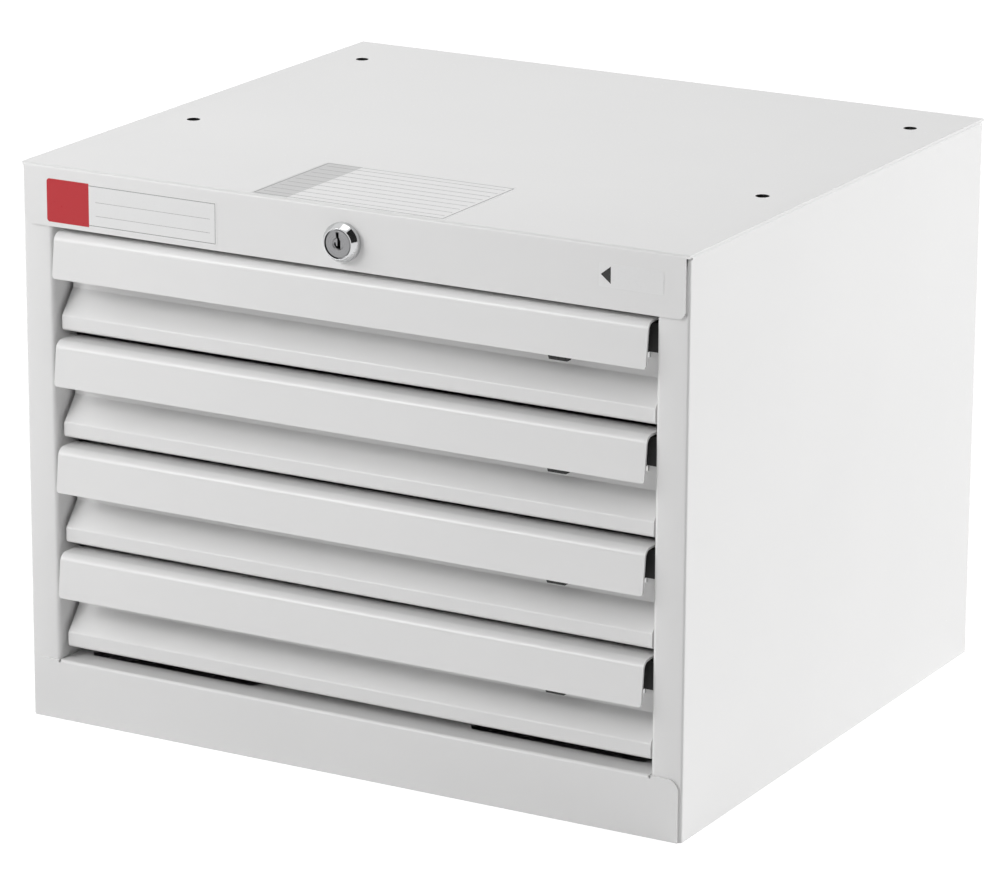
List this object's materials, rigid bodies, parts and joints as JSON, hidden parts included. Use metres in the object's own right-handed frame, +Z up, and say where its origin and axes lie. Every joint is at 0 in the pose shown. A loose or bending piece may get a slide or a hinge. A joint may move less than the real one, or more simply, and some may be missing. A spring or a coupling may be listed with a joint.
{
  "type": "van drawer cabinet",
  "caption": "White folded-steel van cabinet whose latching drawers run on ball slides behind full-width pulls, locked together by one key lock in the header.",
  "frame": {"origin": "middle of the bounding box at the underside of the floor panel", "axes": "+X to the right along the drawer fronts, +Z up, the drawers open towards -Y"},
  "size_m": [0.4572, 0.4134, 0.3556],
  "materials": {
    "white_powder_coat": "satin white powder coat",
    "zinc_plated_steel": "bright zinc plate",
    "chrome_plate": "polished, satin face",
    "black_nylon": "moulded black nylon",
    "spring_steel": "drawn wire"
  },
  "bodies": {
    "cabinet": {"top_panel": "white_powder_coat", "side_panel_left": "white_powder_coat", "side_panel_right": "white_powder_coat", "base_rail": "white_powder_coat", "floor_panel": "white_powder_coat", "back_panel": "white_powder_coat", "slide_uprights": "zinc_plated_steel", "slide_cabinet_members": "zinc_plated_steel", "lock_barrel": "chrome_plate", "lock_nut": "zinc_plated_steel", "lock_bar_guides": "zinc_plated_steel"},
    "lock_plug": {"lock_plug": "chrome_plate", "lock_cam": "zinc_plated_steel", "lock_cam_screw": "zinc_plated_steel"},
    "lock_bar": {"lock_bar": "zinc_plated_steel"},
    "drawer_1": {"drawer_1_front": "white_powder_coat", "drawer_1_tray": "white_powder_coat", "drawer_1_pull": "white_powder_coat", "drawer_1_latch_guides": "zinc_plated_steel", "drawer_1_slide_members": "zinc_plated_steel", "drawer_1_latch_spring": "spring_steel"},
    "drawer_1_latch": {"drawer_1_latch": "black_nylon"},
    "drawer_1_slide_middles": {"drawer_1_slide_middles": "zinc_plated_steel"},
    "drawer_1_cages_outer": {"drawer_1_ball_cages_outer": "zinc_plated_steel"},
    "drawer_1_cages_inner": {"drawer_1_ball_cages_inner": "zinc_plated_steel"},
    "drawer_2": {"drawer_2_front": "white_powder_coat", "drawer_2_tray": "white_powder_coat", "drawer_2_pull": "white_powder_coat", "drawer_2_latch_guides": "zinc_plated_steel", "drawer_2_slide_members": "zinc_plated_steel", "drawer_2_latch_spring": "spring_steel"},
    "drawer_2_latch": {"drawer_2_latch": "black_nylon"},
    "drawer_2_slide_middles": {"drawer_2_slide_middles": "zinc_plated_steel"},
    "drawer_2_cages_outer": {"drawer_2_ball_cages_outer": "zinc_plated_steel"},
    "drawer_2_cages_inner": {"drawer_2_ball_cages_inner": "zinc_plated_steel"},
    "drawer_3": {"drawer_3_front": "white_powder_coat", "drawer_3_tray": "white_powder_coat", "drawer_3_pull": "white_powder_coat", "drawer_3_latch_guides": "zinc_plated_steel", "drawer_3_slide_members": "zinc_plated_steel", "drawer_3_latch_spring": "spring_steel"},
    "drawer_3_latch": {"drawer_3_latch": "black_nylon"},
    "drawer_3_slide_middles": {"drawer_3_slide_middles": "zinc_plated_steel"},
    "drawer_3_cages_outer": {"drawer_3_ball_cages_outer": "zinc_plated_steel"},
    "drawer_3_cages_inner": {"drawer_3_ball_cages_inner": "zinc_plated_steel"},
    "drawer_4": {"drawer_4_front": "white_powder_coat", "drawer_4_tray": "white_powder_coat", "drawer_4_pull": "white_powder_coat", "drawer_4_latch_guides": "zinc_plated_steel", "drawer_4_slide_members": "zinc_plated_steel", "drawer_4_latch_spring": "spring_steel"},
    "drawer_4_latch": {"drawer_4_latch": "black_nylon"},
    "drawer_4_slide_middles": {"drawer_4_slide_middles": "zinc_plated_steel"},
    "drawer_4_cages_outer": {"drawer_4_ball_cages_outer": "zinc_plated_steel"},
    "drawer_4_cages_inner": {"drawer_4_ball_cages_inner": "zinc_plated_steel"}
  },
  "joints": [
    {"name": "lock_turn", "type": "hinge", "parent": "cabinet", "child": "lock_plug", "pos_m": [0, -0.1997, 0.3346], "axis": [0, -1, 0], "range_deg": [0, 90]},
    {"name": "lock_bar_slide", "type": "slide", "parent": "cabinet", "child": "lock_bar", "axis": [-1, 0, 0], "range_m": [0, 0.01061]},
    {"name": "drawer_1_open", "type": "slide", "parent": "cabinet", "child": "drawer_1", "axis": [0, -1, 0], "range_m": [0, 0.34]},
    {"name": "drawer_1_slide_middles_run", "type": "slide", "parent": "cabinet", "child": "drawer_1_slide_middles", "axis": [0, -1, 0], "range_m": [0, 0.17]},
    {"name": "drawer_1_cages_outer_run", "type": "slide", "parent": "cabinet", "child": "drawer_1_cages_outer", "axis": [0, -1, 0], "range_m": [0, 0.085]},
    {"name": "drawer_1_cages_inner_run", "type": "slide", "parent": "cabinet", "child": "drawer_1_cages_inner", "axis": [0, -1, 0], "range_m": [0, 0.255]},
    {"name": "drawer_1_latch_slide", "type": "slide", "parent": "drawer_1", "child": "drawer_1_latch", "axis": [1, 0, 0], "range_m": [0, 0.008], "stiffness_N_per_m": 200, "springref_m": 0.016, "deforming": ["drawer_1_latch_spring"]},
    {"name": "drawer_2_open", "type": "slide", "parent": "cabinet", "child": "drawer_2", "axis": [0, -1, 0], "range_m": [0, 0.34]},
    {"name": "drawer_2_slide_middles_run", "type": "slide", "parent": "cabinet", "child": "drawer_2_slide_middles", "axis": [0, -1, 0], "range_m": [0, 0.17]},
    {"name": "drawer_2_cages_outer_run", "type": "slide", "parent": "cabinet", "child": "drawer_2_cages_outer", "axis": [0, -1, 0], "range_m": [0, 0.085]},
    {"name": "drawer_2_cages_inner_run", "type": "slide", "parent": "cabinet", "child": "drawer_2_cages_inner", "axis": [0, -1, 0], "range_m": [0, 0.255]},
    {"name": "drawer_2_latch_slide", "type": "slide", "parent": "drawer_2", "child": "drawer_2_latch", "axis": [1, 0, 0], "range_m": [0, 0.008], "stiffness_N_per_m": 200, "springref_m": 0.016, "deforming": ["drawer_2_latch_spring"]},
    {"name": "drawer_3_open", "type": "slide", "parent": "cabinet", "child": "drawer_3", "axis": [0, -1, 0], "range_m": [0, 0.34]},
    {"name": "drawer_3_slide_middles_run", "type": "slide", "parent": "cabinet", "child": "drawer_3_slide_middles", "axis": [0, -1, 0], "range_m": [0, 0.17]},
    {"name": "drawer_3_cages_outer_run", "type": "slide", "parent": "cabinet", "child": "drawer_3_cages_outer", "axis": [0, -1, 0], "range_m": [0, 0.085]},
    {"name": "drawer_3_cages_inner_run", "type": "slide", "parent": "cabinet", "child": "drawer_3_cages_inner", "axis": [0, -1, 0], "range_m": [0, 0.255]},
    {"name": "drawer_3_latch_slide", "type": "slide", "parent": "drawer_3", "child": "drawer_3_latch", "axis": [1, 0, 0], "range_m": [0, 0.008], "stiffness_N_per_m": 200, "springref_m": 0.016, "deforming": ["drawer_3_latch_spring"]},
    {"name": "drawer_4_open", "type": "slide", "parent": "cabinet", "child": "drawer_4", "axis": [0, -1, 0], "range_m": [0, 0.34]},
    {"name": "drawer_4_slide_middles_run", "type": "slide", "parent": "cabinet", "child": "drawer_4_slide_middles", "axis": [0, -1, 0], "range_m": [0, 0.17]},
    {"name": "drawer_4_cages_outer_run", "type": "slide", "parent": "cabinet", "child": "drawer_4_cages_outer", "axis": [0, -1, 0], "range_m": [0, 0.085]},
    {"name": "drawer_4_cages_inner_run", "type": "slide", "parent": "cabinet", "child": "drawer_4_cages_inner", "axis": [0, -1, 0], "range_m": [0, 0.255]},
    {"name": "drawer_4_latch_slide", "type": "slide", "parent": "drawer_4", "child": "drawer_4_latch", "axis": [1, 0, 0], "range_m": [0, 0.008], "stiffness_N_per_m": 200, "springref_m": 0.016, "deforming": ["drawer_4_latch_spring"]}
  ],
  "couplings": [
    {"joint": "lock_turn", "follows": "lock_bar_slide", "rad_per_m": 148.1},
    {"joint": "drawer_1_slide_middles_run", "follows": "drawer_1_open", "ratio": 0.5},
    {"joint": "drawer_1_cages_outer_run", "follows": "drawer_1_open", "ratio": 0.25},
    {"joint": "drawer_1_cages_inner_run", "follows": "drawer_1_open", "ratio": 0.75},
    {"joint": "drawer_2_slide_middles_run", "follows": "drawer_2_open", "ratio": 0.5},
    {"joint": "drawer_2_cages_outer_run", "follows": "drawer_2_open", "ratio": 0.25},
    {"joint": "drawer_2_cages_inner_run", "follows": "drawer_2_open", "ratio": 0.75},
    {"joint": "drawer_3_slide_middles_run", "follows": "drawer_3_open", "ratio": 0.5},
    {"joint": "drawer_3_cages_outer_run", "follows": "drawer_3_open", "ratio": 0.25},
    {"joint": "drawer_3_cages_inner_run", "follows": "drawer_3_open", "ratio": 0.75},
    {"joint": "drawer_4_slide_middles_run", "follows": "drawer_4_open", "ratio": 0.5},
    {"joint": "drawer_4_cages_outer_run", "follows": "drawer_4_open", "ratio": 0.25},
    {"joint": "drawer_4_cages_inner_run", "follows": "drawer_4_open", "ratio": 0.75}
  ]
}
